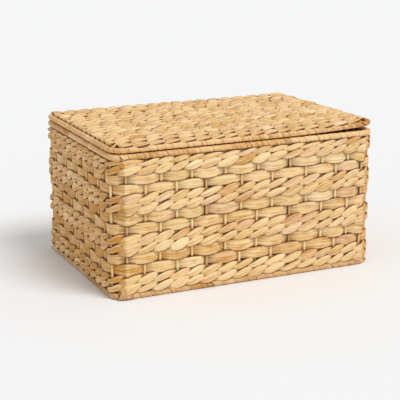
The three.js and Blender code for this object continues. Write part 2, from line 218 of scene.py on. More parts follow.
def wall_way(level, start, settings):
    """The way of a strand round the wall, from the upright it starts at. It is pulled taut
    from upright to upright, so it creases at the corner posts.

    turn counts uprights, base is the middle line, out is away from the inside, rise is up
    the wall and radius the upright's. swell and flat are how full and how thick the strand is
    there, over the usual; its tone is moved paler near the corner posts and darker on the
    sides away from the front, which is painted shade for the sides that the light misses, and
    it gets a weight for the painted shade where it goes under."""
    turn = start + np.linspace(0, COUNT, COUNT * settings.steps + 1)
    first = np.floor(turn).astype(int) % COUNT
    last = (first + 1) % COUNT
    share = (turn - np.floor(turn))[:, None]
    uprights = uprights_at(level)
    ends, _ = wall_line(uprights)
    chord = ends[first] * (1 - share) + ends[last] * share
    gap = np.mod(uprights[last] - uprights[first], WALL_LENGTH)
    arc, _ = wall_line(uprights[first] + share[:, 0] * gap)
    plan = chord * settings.taut + arc * (1 - settings.taut)
    spans = unit(np.roll(ends, -1, 0) - ends)
    faces = np.stack([spans[:, 1], -spans[:, 0]], -1)
    near = np.clip((settings.crease - share) / (2 * settings.crease), 0, 0.5)
    far = np.clip((share - 1 + settings.crease) / (2 * settings.crease), 0, 0.5)
    before, after = faces[(first - 1) % COUNT], faces[last]
    out = unit(faces[first] * (1 - near - far) + before * near + after * far)
    swell = np.ones(COUNT)
    swell[CORNER_POSTS] = settings.corner_swell
    swell[BEND_STAKES] = settings.corner_pinch
    from_post = np.abs((turn[:, None] - CORNER_POSTS + COUNT / 2) % COUNT - COUNT / 2)
    tone_shift = np.clip(PALE_REACH - from_post.min(1) / settings.crease, 0, 1)
    return {
        "turn": turn,
        "closed": True,
        "base": np.column_stack([plan, np.full(len(turn), level)]),
        "out": np.column_stack([out, np.zeros(len(turn))]),
        "rise": UP,
        "radius": stepped(np.where(IS_POST, WIRE_RADIUS, settings.stake / 2), turn, True),
        "swell": stepped(swell, turn, True) * settings.fill,
        # Paler near the corner posts; darker on the sides away from the front, painted shade for the
        # sides that the light misses
        "tone_shift": settings.corner_wear * tone_shift - settings.unbleached * (turn % COUNT > LONG_INTERVALS),
        "flat": 1.0,
        "shade_weight": 1.0,
        "count": COUNT,
    }


def rib_places():
    """Where the ribs of the base and the lid stand, from the left rim to the right one."""
    brace = STRAIGHT_X / 2 - INTERVALS_PER_POST * STRAIGHT_X / LONG_INTERVALS
    marks = [-HALF_X, -brace, brace, HALF_X]
    gaps = RIBS_PER_BAY + 1
    places = [
        start + (end - start) * i / gaps for start, end in zip(marks, marks[1:]) for i in range(gaps)
    ]
    return np.array(places + [HALF_X])


def hinge_places():
    """The middles of the two hinge loops, from left to right."""
    boxes = [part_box(node) for node in HINGE_LOOPS]
    return [(low.x + high.x) / 2 for low, high in boxes]


def mat_way(y, height, level, lifted, shift, settings, mat):
    """The way of a strand across the base or the lid, left to right, with its leaves shifted
    along it. Where it would meet a hinge loop it keeps forward of it."""
    ribs = rib_places()
    past_bend = max(0.0, abs(y) + height / 2 - (HALF_Y - BEND_RADIUS))
    end = HALF_X - BEND_RADIUS - mat.rim_overlap + math.sqrt(BEND_RADIUS**2 - past_bend**2)
    spots = np.linspace(-end, end, (len(ribs) - 1) * settings.steps + 1)
    loops = sum(np.exp(-(((spots - x) / mat.dodge_reach) ** 2)) for x in hinge_places())
    near_back = np.clip((y - HALF_Y + mat.dodge_start) / mat.dodge_start, 0, 1)
    rise = lid_lift(spots, y) if lifted else np.zeros(len(spots))
    return {
        "turn": np.interp(spots, ribs, np.arange(len(ribs))) + shift,
        "closed": False,
        "base": np.column_stack([spots, y - mat.dodge * near_back * loops, level + rise]),
        "out": UP,
        "rise": BACK,
        "radius": mat.rib / 2,
        "swell": mat.fill,
        "tone_shift": 0.0,
        "flat": mat.lid_fullness if lifted else mat.base_fullness,
        # Painted shade where strands go under, weaker than on the wall and fading out towards their
        # ends
        "shade_weight": mat.shade * np.clip((end - np.abs(spots)) / mat.clean_edge, 0, 1),
        "count": len(ribs),
    }


def strand(points, out, width, thickness, closed, looks, side=None, tilt=0.0, hug=0.0):
    """A flat strand along some points, its face turned out. looks are its tone, from dark to
    pale, its tint, from green to pink, and its painted shade, from 0 where it shows to 1 where
    it is tucked under. side is which way its breadth lies, tilt leans the face over, and hug
    pulls its edges in. An open strand tapers at its ends."""
    if closed:
        heading = np.roll(points[:-1], -1, 0) - np.roll(points[:-1], 1, 0)
        heading = np.concatenate([heading, heading[:1]])
    else:
        heading = np.gradient(points, axis=0)
    ahead = unit(heading)
    steps = np.linalg.norm(np.diff(points, axis=0), axis=1)
    if side is None:
        side = unit(np.cross(ahead, out))
        face = np.cross(side, ahead)
    else:
        face = out
    size = len(points)
    wide, thick, tone, tint, shade = (
        np.broadcast_to(value, size)[:, None] for value in (width, thickness, *looks)
    )
    run = np.concatenate([[0], np.cumsum(steps)])[:, None]
    inner = np.sqrt(np.clip(np.minimum(run, run[-1] - run) / END_TAPER, 0, 1))
    if not closed:
        wide, thick = wide * inner, thick * inner
    return {
        "position": points,
        "across": (side * math.cos(tilt) + face * math.sin(tilt)) * wide / 2,
        "proud": (face * math.cos(tilt) - side * math.sin(tilt)) * thick / 2,
        "hug": np.broadcast_to(hug, (size, 3)),
        "run": run,
        "tone": tone,
        "tint": tint,
        "shade": shade,
        "calm": inner,
    }


def uneven(rng, way, spread):
    """A value for each upright, drawn evenly about zero and eased between them."""
    values = rng.uniform(-spread, spread, way["count"])
    return stepped(values, way["turn"], way["closed"])


# Cast of an odd leaf, from faint to full, and how far a whole strand's tone strays over a leaf's
ODD_CAST = (0.5, 1)
DRIFT = 0.5


def leaf_looks(rng, way, first, settings):
    """Tone and tint of a strand. Each stretch that shows differs from its neighbours, and
    now and then one is mauve or olive; they change where the strand is out of sight."""
    count = way["count"]
    leaves = count // 2 if way["closed"] else count
    leaf = np.floor((way["turn"] + first + 1) / 2).astype(int) % leaves
    tones = rng.normal(settings.tone, settings.tone_spread, count)
    tints = rng.normal(0, settings.tint_spread, count)
    odd = rng.random(count) < settings.odd_leaves
    tints = np.where(odd, np.sign(tints) * rng.uniform(*ODD_CAST, count), tints)
    drift = rng.normal(0, settings.tone_spread * DRIFT)
    return tones[leaf] + drift + way["tone_shift"], tints[leaf]


def twined_strand(way, height, first, rng, settings):
    """One of the two strands of a twined course, which twist half a turn for each upright.
    It comes out from under the strand before it, runs on over the strand after it, and is
    in sight for longer than it hides."""
    place = np.mod(way["turn"] + first + 1 - settings.lag, 2) - 1
    shown, gone = np.abs(place) / settings.leaf, (1 - np.abs(place)) / (1 - settings.leaf)
    phase = np.where(shown < 1, shown, 2 - gone) * math.pi / 2
    over, lift = np.cos(phase), np.sin(phase) * np.sign(place)
    fullness = np.abs(over) ** settings.leaf_power
    width = height * (settings.waist + (1 - settings.waist) * fullness) * way["swell"]
    width = width * (1 + uneven(rng, way, settings.unevenness))
    flat = np.minimum(way["flat"], 1 + (way["flat"] - 1) * (1 + over) / 2)
    thickness = settings.thickness * (1 + settings.bunching * (1 - fullness)) * flat
    reach = way["radius"] + settings.slack + settings.thickness * flat / 2
    swing = (over + settings.proudness * (1 - over**2)) * reach
    rise = height * settings.twist * lift + uneven(rng, way, settings.wander)
    points = way["base"] + way["out"] * swing[:, None] + way["rise"] * rise[:, None]
    # Painted shade where the strand goes under the other, darkest just behind it and fading towards the
    # inside
    shade = np.clip(1 - np.abs(over + settings.tuck) / (2 * settings.tuck), 0, 1)
    shade = shade * way["shade_weight"]
    looks = (*leaf_looks(rng, way, first, settings), shade)
    return strand(points, way["out"], width, thickness, way["closed"], looks)


# What flat strips do beside twined strands: how far their free edge draws in, how many times more
# even they are, and how far they stray
FREE_EDGE = 0.25
EVENNESS = 3
STRIP_WANDER = 0.5


def plain_strand(way, height, first, neighbour, rng, settings):
    """The flat strip of a plain course, over one upright and under the next. neighbour is 1
    where the other plain course of its pair lies above it, and -1 below."""
    sharpness = settings.strip_sharpness
    over = np.arcsin(sharpness * np.cos(math.pi * (way["turn"] + first)))
    over = over / math.asin(sharpness)
    strip = settings.strip * way["flat"]
    swing = over + settings.strip_proudness * (1 - over**2)
    swing = swing * (way["radius"] + settings.slack + strip / 2)
    swell = 1 + (way["swell"] - 1) * (1 + over) * settings.strip_fill
    inner_edge = (height / 2 + settings.interlock * over + settings.lap) * swell
    outer_edge = (height / 2 + settings.interlock * (over - 1) * FREE_EDGE + settings.reach) * swell
    width = (inner_edge + outer_edge) * (1 + uneven(rng, way, settings.unevenness / EVENNESS))
    rise = neighbour * (inner_edge - outer_edge) / 2
    rise = rise + uneven(rng, way, settings.wander * STRIP_WANDER)
    points = way["base"] + way["out"] * swing[:, None] + way["rise"] * rise[:, None]
    looks = (*leaf_looks(rng, way, first, settings), 0.0)
    return strand(points, way["out"], width, strip, way["closed"], looks)


def add_node(tree, kind, inputs=(), stops=(), output=0, **settings):
    """Adds a node with its settings and colour stops, gives its inputs, in order or by name,
    a value or a link, and returns one of its outputs."""
    node = tree.nodes.new(kind)
    for name, value in settings.items():
        setattr(node, name, value)
    for i, (spot, colour) in enumerate(stops):
        marks = node.color_ramp.elements
        mark = marks[i] if i < len(marks) else marks.new(spot)
        mark.position, mark.color = spot, colour
    for key, value in inputs.items() if isinstance(inputs, dict) else enumerate(inputs):
        if isinstance(value, bpy.types.NodeSocket):
            tree.links.new(value, node.inputs[key])
        else:
            node.inputs[key].default_value = value
    return node.outputs[output] if node.outputs else None


# Kinds of node that are used many times
MATH, VECTOR_MATH, JOIN = "ShaderNodeMath", "ShaderNodeVectorMath", "ShaderNodeCombineXYZ"
NOISE, RAMP, MIX = "ShaderNodeTexNoise", "ShaderNodeValToRGB", "ShaderNodeMix"
STORE = "GeometryNodeStoreNamedAttribute"

# The middle of what noise gives, the detail of the folds' noise, how close to zero counts as zero,
# and how close points are welded
MIDDLE = 0.5
FOLD_DETAIL = 2.0
NEAR = 0.5
WELD = 0.01 * MM

# What the strand sweep is given: name, kind of socket and default
STRAND_INPUTS = (
    ("Ways", "NodeSocketGeometry", None),
    ("Stations", "NodeSocketInt", 2),
    ("Around", "NodeSocketInt", 16),
    ("Squareness", "NodeSocketFloat", 0.62),
    ("Girth", "NodeSocketFloat", 28 * MM),
    ("Crease Depth", "NodeSocketFloat", 0.8 * MM),
    ("Creases Around", "NodeSocketFloat", 1.8),
    ("Crease Length", "NodeSocketFloat", 90 * MM),
    # How strongly painted shade darkens the section's edges
    ("Dark Edges", "NodeSocketFloat", 1.0),
    ("Seed", "NodeSocketFloat", 0.0),
    ("Material", "NodeSocketMaterial", None),
)


def strand_tree():
    """Geometry Nodes that sweep a flat, creased section along the stations of some strands."""
    name = "Strand Sweep"
    if name in bpy.data.node_groups:
        return bpy.data.node_groups[name]
    tree = bpy.data.node_groups.new(name, "GeometryNodeTree")
    for label, kind, default in STRAND_INPUTS:
        item = tree.interface.new_socket(name=label, in_out="INPUT", socket_type=kind)
        if default is not None:
            item.default_value = default
    tree.interface.new_socket(name="Strands", in_out="OUTPUT", socket_type="NodeSocketGeometry")
    node = partial(add_node, tree)
    given = node("NodeGroupInput").node.outputs

    # A flat grid, with a row for each station and a column for each point of the section
    size = node("GeometryNodeAttributeDomainSize", {"Geometry": given["Ways"]})
    length = node(MATH, [size, 1.0], operation="SUBTRACT")
    columns = node(MATH, [given["Around"], 1.0], operation="ADD")
    grid = node(
        "GeometryNodeMeshGrid",
        {"Size X": length, "Size Y": given["Around"], "Vertices X": size, "Vertices Y": columns},
    )
    span = node(JOIN, {"X": length, "Y": given["Around"]})
    place = node(
        VECTOR_MATH,
        [span, (0.5, 0.5, 0.0), node("GeometryNodeInputPosition")],
        operation="MULTIPLY_ADD",
    )
    row, column, _ = node("ShaderNodeSeparateXYZ", [place]).node.outputs
    station = node("FunctionNodeFloatToInt", [row], rounding_mode="ROUND")

    # The faces that would join one strand to the next are left out.
    after = node(MATH, [row], operation="CEIL")
    within = node(MATH, [after, given["Stations"]], operation="MODULO")
    bridge = node(MATH, [within, 0.0, NEAR], operation="COMPARE")
    shape = node("GeometryNodeDeleteGeometry", {"Geometry": grid, "Selection": bridge}, domain="FACE")

    def at_station(label, kind="FLOAT"):
        """An attribute of the strands' ways, read at the row's station."""
        named = node("GeometryNodeInputNamedAttribute", {"Name": label}, data_type=kind)
        return node(
            "GeometryNodeSampleIndex",
            {"Geometry": given["Ways"], "Value": named, "Index": station},
            data_type=kind,
        )

    # The section: flat in the middle and rounded at its edges, with creases that wander
    run = at_station("run")
    share = node(MATH, [column, given["Around"]], operation="DIVIDE")
    angle = node(MATH, [share, 2 * math.pi], operation="MULTIPLY")
    cosine, sine = (node(MATH, [angle], operation=kind) for kind in ("COSINE", "SINE"))
    height = node(MATH, [sine], operation="ABSOLUTE")
    bulge = node(MATH, [height, given["Squareness"]], operation="POWER")
    which = node(MATH, [sine], operation="SIGN")
    bulge = node(MATH, [bulge, which], operation="MULTIPLY")
    stretch = node(MATH, [1.0, given["Crease Length"]], operation="DIVIDE")
    around = node(JOIN, {"X": cosine, "Y": sine, "Z": run})
    scale = node(JOIN, {"X": given["Creases Around"], "Y": given["Creases Around"], "Z": stretch})
    spot = node(VECTOR_MATH, [around, scale], operation="MULTIPLY")
    look = {"Vector": spot, "W": given["Seed"], "Scale": 1.0, "Detail": FOLD_DETAIL}
    fold = node(NOISE, look, noise_dimensions="4D")
    # Nearness to the section's edges, where painted shade falls
    edge = node(MATH, [cosine], operation="ABSOLUTE")
    edge = node(MATH, [edge, given["Dark Edges"]], operation="MULTIPLY")
    kept = {label: at_station(label) for label in ("tone", "tint", "shade")}
    kept.update(fold=fold, edge=edge)
    for label, value in kept.items():
        shape = node(
            STORE, {"Geometry": shape, "Name": label, "Value": value}, data_type="FLOAT", domain="POINT"
        )
    girth = node(MATH, [share, given["Girth"]], operation="MULTIPLY")
    chart = node(JOIN, {"X": run, "Y": girth})
    shape = node(
        STORE, {"Geometry": shape, "Name": "UVMap", "Value": chart}, data_type="FLOAT2", domain="CORNER"
    )

    # Each point goes out from its station by the section, and in or out by the creases.
    calm = at_station("calm")
    depth = node(MATH, [calm, given["Crease Depth"]], operation="MULTIPLY")
    relief = node(MATH, [fold, MIDDLE], operation="SUBTRACT")
    relief = node(MATH, [relief, depth], operation="MULTIPLY")
    proud = at_station("proud", "FLOAT_VECTOR")
    outward = node(VECTOR_MATH, [proud], operation="NORMALIZE")
    edgeward = node(MATH, [cosine, cosine], operation="MULTIPLY")
    skin = at_station("position", "FLOAT_VECTOR")
    for way, amount in (
        (at_station("across", "FLOAT_VECTOR"), cosine),
        (at_station("hug", "FLOAT_VECTOR"), edgeward),
        (proud, bulge),
        (outward, relief),
    ):
        skin = node(VECTOR_MATH, [way, amount, skin], operation="MULTIPLY_ADD")
    for step, inputs in (
        ("SetPosition", {"Position": skin}),
        ("MergeByDistance", {"Distance": WELD}),
        ("SetShadeSmooth", {}),
        ("RealizeInstances", {}),
        ("SetMaterial", {"Material": given["Material"]}),
    ):
        shape = node("GeometryNode" + step, {"Geometry": shape, **inputs})
    node("NodeGroupOutput", {"Strands": shape})
    return tree


def add_object(name, data):
    """A new object in the scene."""
    thing = bpy.data.objects.new(name, data)
    bpy.context.scene.collection.objects.link(thing)
    return thing


def sweep(name, strands, material, **sizes):
    """Makes one mesh of some strands, which all have the same number of stations."""
    stations = len(strands[0]["position"])
    rows = {key: np.concatenate([s[key] for s in strands]) for key in strands[0]}
    rows["run"] = rows["run"] + np.repeat(np.arange(len(strands)), stations)[:, None]
    ways = bpy.data.meshes.new(name + "_ways")
    ways.vertices.add(len(rows["position"]))
    ways.vertices.foreach_set("co", rows.pop("position").astype(np.float32).ravel())
    for key, values in rows.items():
        kind, part = ("FLOAT_VECTOR", "vector") if values.shape[1] == 3 else ("FLOAT", "value")
        layer = ways.attributes.new(key, kind, "POINT")
        layer.data.foreach_set(part, values.astype(np.float32).ravel())
    guide = add_object(name + "_guide", ways)
    modifier = guide.modifiers.new("Strands", "NODES")
    modifier.node_group = strand_tree()
    values = {"Stations": stations, "Material": material}
    values.update({key.replace("_", " ").title(): value for key, value in sizes.items()})
    for item in modifier.node_group.interface.items_tree:
        if item.in_out == "INPUT" and item.name in values:
            modifier[item.identifier] = values[item.name]
    finished = guide.evaluated_get(bpy.context.evaluated_depsgraph_get())
    mesh = bpy.data.meshes.new_from_object(finished)
    mesh.name = name
    piece = add_object(name, mesh)
    bpy.data.objects.remove(guide)
    bpy.data.meshes.remove(ways)
    return piece


def fit(piece, body, slot, *nodes):
    """Puts a finished piece on its body, with the CAD nodes it stands for; its finish is not used."""
    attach(piece, body)
    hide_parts(*nodes)


def nodes_named(*starts):
    return [name for name in frame["nodes"] if name.startswith(starts)]


def linear(code):
    """An sRGB hex colour as linear light."""
    channels = [int(code[i : i + 2], 16) / 255 for i in (1, 3, 5)]
    return [c / 12.92 if c <= 0.04045 else ((c + 0.055) / 1.055) ** 2.4 for c in channels]


def shaded(colour, by):
    """A colour made darker or lighter, as the four numbers of a shader's socket."""
    return (*(min(1.0, c * b) for c, b in zip(colour, by)), 1.0)


# How dried stalk turns darker in its folds, in painted shade at its edges and where it goes
# # under, and where it is stained, and paler where it is bleached. The stained colour also
# # carries the painted shade of the sides away from the front.
FOLDED_AND_SHADED = (0.19, 0.09, 0.035)
STAINED_AND_SHADED = (0.68, 0.46, 0.16)
BLEACHED = (1.2, 1.28, 1.6)
OLIVE, MAUVE = (0.88, 0.88, 0.76, 1), (0.88, 0.79, 0.86, 1)

# What the eye reads on it: length and breadth of the marks, and how far they shift the tone
FINE_FIBRES = (40 * MM, 0.8 * MM, 1.5)
BROAD_FIBRES = (90 * MM, 2 * MM, 0.9)
STAINS = (14 * MM, 6 * MM, 0.7)
FOLDS = 0.5
MARK_DETAIL = 2.0

# Where a fold turns dark, where painted shade darkens an edge, and how dark
FOLD_DARKNESS = ((0.48, 0.0), (0.5, 0.3), (0.52, 0.0))
EDGE_SHADE_RAMP = ((0.76, 0.0), (0.91, 1.0))
STALK_SHEEN = 0.25
STALK_BUMP = {"Strength": 0.5, "Distance": 0.3 * MM}

# The paint on the wire: size of its wear, and how dark it is where it is dull and where rubbed
PAINT_WEAR = {"Scale": 1 / (6 * MM), "Detail": 3.0}
PAINT_TONES = ((0.3, 0.6), (0.7, 1.2))
PAINT_BUMP = {"Strength": 0.3, "Distance": 0.1 * MM}


def blank(name):
    """A new material, and a function that adds nodes to it."""
    material = bpy.data.materials.new(name)
    material.use_nodes = True
    material.node_tree.nodes.clear()
    return material, partial(add_node, material.node_tree)


def greys(marks):
    """The colour stops of a ramp from dark to pale."""
    return [(spot, (level, level, level, 1.0)) for spot, level in marks]


def dried_stalk(name, colour, roughness):
    """Water hyacinth stalk, pressed flat and dried in the sun: satin, with lengthwise
    fibres, dark in its folds, with painted shade at its edges and where it goes under, and
    mauve or olive in places."""
    material, node = blank(name)
    chart = node("ShaderNodeUVMap", uv_map="UVMap")
    tone, tint, shade, fold, edge = (
        node("ShaderNodeAttribute", output="Fac", attribute_name=label)
        for label in ("tone", "tint", "shade", "fold", "edge")
    )
    marks = [(fold, FOLDS)]
    for length, breadth, strength in (FINE_FIBRES, BROAD_FIBRES, STAINS):
        scale = (1 / length, 1 / breadth, 1.0)
        stretched = node("ShaderNodeMapping", {0: chart, "Scale": scale})
        noise = node(NOISE, {"Vector": stretched, "Scale": 1.0, "Detail": MARK_DETAIL})
        marks.append((noise, strength))
    level = tone
    for pattern, strength in marks:
        centred = node(MATH, [pattern, MIDDLE], operation="SUBTRACT")
        level = node(MATH, [centred, strength, level], operation="MULTIPLY_ADD")
    straw = node(
        RAMP,
        [level],
        stops=(
            (0.0, shaded(colour, STAINED_AND_SHADED)),
            (0.5, shaded(colour, (1, 1, 1))),
            (1.0, shaded(colour, BLEACHED)),
        ),
    )
    hue = node(MATH, [tint, MIDDLE, MIDDLE], operation="MULTIPLY_ADD")
    cast = node(RAMP, [hue], stops=((0.0, OLIVE), (0.5, (1, 1, 1, 1)), (1.0, MAUVE)))
    skin = node(MIX, {0: 1.0, 6: straw, 7: cast}, output=2, data_type="RGBA", blend_type="MULTIPLY")
    creased = node(RAMP, [fold], stops=greys(FOLD_DARKNESS))
    # Painted shade at the edges and where the strand goes under, with the dark of the folds
    shaded_edges = node(RAMP, [edge], stops=greys(EDGE_SHADE_RAMP))
    folds_and_shade = node(MATH, [creased, shaded_edges], operation="MAXIMUM")
    folds_and_shade = node(MATH, [folds_and_shade, shade], operation="MAXIMUM")
    skin = node(MIX, {0: folds_and_shade, 6: skin, 7: shaded(colour, FOLDED_AND_SHADED)}, output=2, data_type="RGBA")
    bump = node("ShaderNodeBump", {"Height": level, **STALK_BUMP})
    shader = node(
        "ShaderNodeBsdfPrincipled",
        {"Base Color": skin, "Roughness": roughness, "Specular IOR Level": STALK_SHEEN, "Normal": bump},
    )
    node("ShaderNodeOutputMaterial", {"Surface": shader})
    return material


def painted_wire(name, colour, roughness):
    """Soft iron wire under brown paint, with a dull gloss where it is rubbed."""
    material, node = blank(name)
    place = node("ShaderNodeTexCoord", output="Object")
    wear = node(NOISE, {"Vector": place, **PAINT_WEAR})
    paint = node(
        RAMP, [wear], stops=[(spot, shaded(colour, (level,) * 3)) for spot, level in PAINT_TONES]
    )
    bump = node("ShaderNodeBump", {"Height": wear, **PAINT_BUMP})
    shader = node(
        "ShaderNodeBsdfPrincipled", {"Base Color": paint, "Roughness": roughness, "Normal": bump}
    )
    node("ShaderNodeOutputMaterial", {"Surface": shader})
    return material


# Each finish: how it is made, which colour it takes and how rough it is
FINISHES = {
    "wall_strand": (dried_stalk, "straw", 0.5),
    "lid_strand": (dried_stalk, "lid_straw", 0.55),
    "wound_rim": (dried_stalk, "rim", 0.45),
    "wound_foot": (dried_stalk, "foot", 0.5),
    "reed_stake": (dried_stalk, "stake", 0.45),
    "straw_post": (dried_stalk, "post", 0.45),
    "painted_wire": (painted_wire, "wire", 0.4),
}


def finish_for(name):
    """The material of that name, made the first time that it is asked for."""
    if name in bpy.data.materials:
        return bpy.data.materials[name]
    make, colour, roughness = FINISHES[name]
    return make(name, getattr(bpy.context.scene.woven_colours, colour), roughness)


def setting(make, name, default, about, **options):
    """A setting that the user can change. The functions below make each kind of them."""
    return make(name=name, default=default, description=about, **options)


count = partial(setting, IntProperty, min=1)
number = partial(setting, FloatProperty)
share = partial(setting, FloatProperty, subtype="FACTOR")
length = partial(setting, FloatProperty, unit="LENGTH")
angle = partial(setting, FloatProperty, subtype="ANGLE")
colour = partial(setting, FloatVectorProperty, subtype="COLOR", size=3)


class WeaveSettings(bpy.types.PropertyGroup):
    """How the strands are woven."""

    steps: count("Steps", 14, "Stations per upright")
    taut: share("Taut", 0.95, "How straight a strand runs round the corners, from bent to straight")
    crease: share("Crease", 0.06, "Share of an interval over which a strand turns at an upright")
    corner_swell: number("Corner Swell", 1.25, "Fullness of strands over a corner post")
    corner_pinch: number("Corner Pinch", 0.72, "Fullness of strands next to it")
    corner_wear: number("Corner Wear", 0.12, "How much paler strands are on a corner")
    # Painted shade: strands away from the front, on the sides that the light misses, are darker
    unbleached: share("Unbleached", 0.28, "How much deeper the colour is away from the front")
    stake: length("Stake", 3.3 * MM, "Thin uprights")
    thickness: length("Strand Thickness", 3.5 * MM, "Twined strands at their widest")
    strip: length("Strip Thickness", 1.8 * MM, "Flat strips of the plain courses")
    slack: length("Slack", 0.05 * MM, "Between a strand and the upright that it passes")
    fill: number("Fill", 1.12, "Height of a strand over that of its course")
    waist: share("Waist", 0.42, "Height of a twined strand where it crosses the other")
    bunching: number("Bunching", 0.3, "How much thicker a twined strand is where it crosses the other")
    leaf: share("Leaf", 0.64, "Share of the way to the next upright at which a leaf ends")
    leaf_power: number("Leaf Bluntness", 0.95, "Lower makes the leaves blunter")
    lag: number("Lag", 0.15, "Share of an interval by which a leaf runs on over the next one")
    proudness: number("Proudness", 0.3, "How far out twined strands cross")
    # Painted shade where a twined strand goes under
    tuck: share("Tuck", 0.36, "How soon a twined strand darkens where it goes under")
    strip_sharpness: share("Strip Sharpness", 0.93, "How straight a flat strip runs between uprights")
    strip_proudness: number("Strip Proudness", 0.6, "How far out flat strips lie midway")
    strip_fill: share("Strip Fill", 0.2, "How much a flat strip spreads of what the twined strands do")
    twist: share("Twist", 0.31, "How far a twined strand rises and falls, as a share of its course")
    interlock: length("Interlock", 0.7 * MM, "How far a float reaches into the next plain course")
    reach: length("Reach", 1.2 * MM, "How far a flat strip reaches behind the twined course beside it")
    lap: length("Lap", 0.8 * MM, "How far the strips of a pair of plain courses lap")
    unevenness: share("Unevenness", 0.24, "How much the strands vary in width")
    wander: length("Wander", 0.9 * MM, "How far a strand strays up or down")
    tone: number("Tone", 0.5, "From dark to pale")
    tone_spread: share("Tone Spread", 0.1, "From leaf to leaf")
    tint_spread: share("Tint Spread", 0.22, "From leaf to leaf")
    odd_leaves: share("Odd Leaves", 0.12, "Share of leaves that are mauve or olive")


class MatSettings(bpy.types.PropertyGroup):
    """How the lid and the base differ from the wall."""

    rib: length("Rib", 2.2 * MM, "Ribs under the strands")
    fill: number("Fill", 1.25, "Breadth of a strand over that of its course")
    lid_fullness: number("Lid Fullness", 1.8, "Thickness of a strand of the lid over one of the wall")
    base_fullness: share("Base Fullness", 0.8, "Thickness of a strand of the base over one of the wall")
    shift: share("Shift", 0.3, "How far the lid's courses stray from each other, in ribs")
    edge: length("Edge", 1.6 * MM, "From the middle of the rim's wire to the first strand")
    # Painted shade where the strands go under, and how far from their ends it fades in
    shade: share("Shade", 0.5, "How dark strands are where they go under, from not to as in the wall")
    clean_edge: length(
        "Clean Edge", 20 * MM, "From the strands' ends to where they are as dark as that"
    )
    edge_fullness: number("Edge Fullness", 1.4, "Thickness of the lid's front strands over the wall's")
    hinge_room: length("Hinge Room", 4.4 * MM, "Left free at the back rim, so the lid can swing over")
    rim_overlap: length("Rim Overlap", 3.5 * MM, "From the strands' ends to the middle of the wire")
    dodge: length("Dodge", 3 * MM, "How far the lid's back strands keep forward of a hinge loop")
    dodge_reach: length("Dodge Reach", 8 * MM, "How far along them they do so")
    dodge_start: length("Dodge Start", 20 * MM, "From the back rim to the first strand that does so")


class WindingSettings(bpy.types.PropertyGroup):
    """How the rims and the hinge loops are wound."""

    steps: count("Steps", 20, "Stations per wrap")
    pitch: length("Wraps", 10 * MM, "From wrap to wrap on the body's top rim and on the lid")
    foot_pitch: length("Foot Wraps", 16 * MM, "From wrap to wrap on the bottom rim")
    pitch_spread: share("Wrap Spread", 0.3, "How much wraps vary")
    thickness: length("Strip Thickness", 0.9 * MM, "Of the wound strip")
    overlap: share("Overlap", 0.25, "How much wider than its wrap the strip is")
    lap: length("Lap", 0.18 * MM, "How far a wrap's edge stands off the one before")
    lid_rim_share: share("Lid Rim", 0.84, "Thickness of the lid's rim over the body's")
    knot_turns: count("Knot Turns", 4, "Round the foot of the front left post")
    knot_width: length("Knot Strip", 5 * MM, "Its strip's width")
    knot_height: length("Knot Height", 9 * MM, "Above the rim's middle")
    knot_reach: length("Knot Reach", 5.6 * MM, "Out from the rim's middle")
    loop_turns: count("Loop Turns", 3, "Of a hinge loop")
    loop_radius: length(
        "Loop Radius", 4.9 * MM, "From a rim's middle to the middle of the loop's strip"
    )


class ColourSettings(bpy.types.PropertyGroup):
    """Colours of the strands, the rims and the wire."""

    straw: colour("Straw", linear("#f5cf95"), "Strands of the wall and the base")
    lid_straw: colour("Lid", linear("#f4cc91"), "Strands of the lid")
    rim: colour("Rim", linear("#e9bd80"), "Wound rims")
    foot: colour("Foot", linear("#d9ac72"), "Wound bottom rim")
    stake: colour("Stake", linear("#ffda9a"), "Thin uprights and ribs")
    post: colour("Post", linear("#dcb272"), "Thick uprights")
    wire: colour("Wire", linear("#7a5530"), "Painted wire")


class StageSettings(bpy.types.PropertyGroup):
    """Floor, light and camera."""

    azimuth: angle("Azimuth", math.radians(-25.056), "Camera")
    elevation: angle("Elevation", math.radians(15.109), "Camera")
    distance: length("Distance", 1.6748, "Camera to the box")
    lens: number("Lens", 106.1, "Millimetres")
    side_shift: length("Aim Across", -9.2 * MM, "Aim from the middle")
    aim_height: length("Aim Height", 80.8 * MM, "Aim over the floor")
    key: number("Key", 1.74, "Strength of the key light")
    key_height: angle("Key Height", math.radians(55), "Of the light")
    key_turn: angle("Key Turn", math.radians(30), "From the front to the right")
    key_size: angle("Key Size", math.radians(30), "Of the light")
    fill: number("Fill", 0.59, "Strength of the room's light")
    floor: colour("Floor", (0.88, 0.885, 0.89), "Colour of the floor")


# The floor: half its width, and the roughness of its paper
FLOOR_REACH = 12.0
PAPER_ROUGHNESS = 0.9


